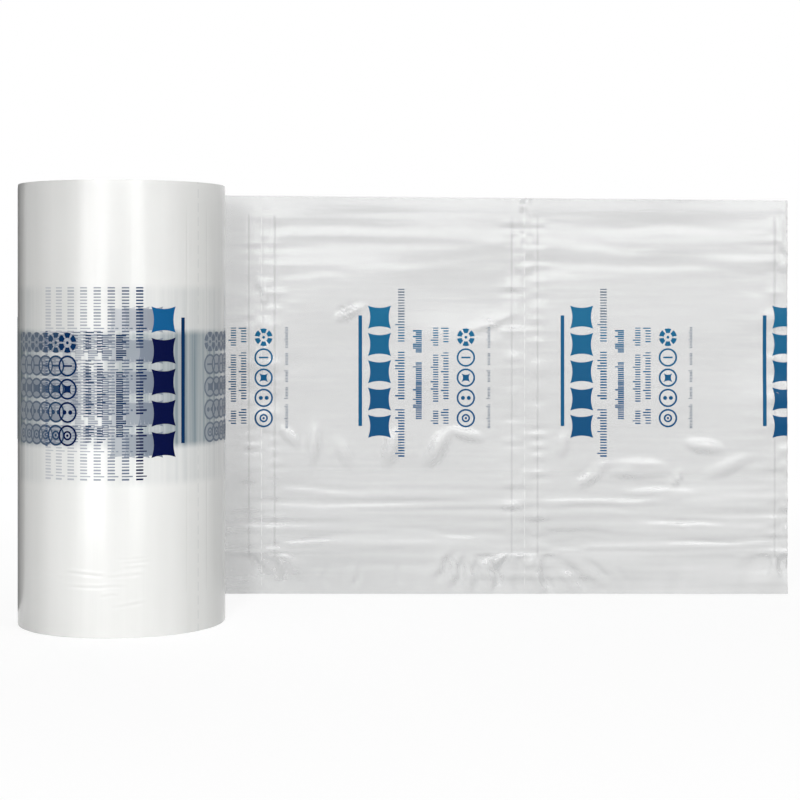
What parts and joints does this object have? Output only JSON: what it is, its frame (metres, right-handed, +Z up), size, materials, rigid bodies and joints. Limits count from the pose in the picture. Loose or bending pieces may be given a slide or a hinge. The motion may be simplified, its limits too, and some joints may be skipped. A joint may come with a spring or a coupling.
{
  "type": "air pillow film roll",
  "caption": "Roll of printed clear film for air pillows on a cardboard core, standing on end, with its last turn sprung loose and a flat tail run out to one side.",
  "frame": {"origin": "axis of the core's bore at the end that the roll stands on", "axes": "+Z up along the core's bore, +X along the tail towards its torn end, -Y towards the printed front of the roll"},
  "size_m": [0.7398, 0.2491, 0.4],
  "materials": {
    "film": "gloss",
    "core": "matte",
    "ink": "satin"
  },
  "bodies": {
    "root": {"film": "film", "core_tube": "core", "print": "ink"}
  },
  "joints": []
}
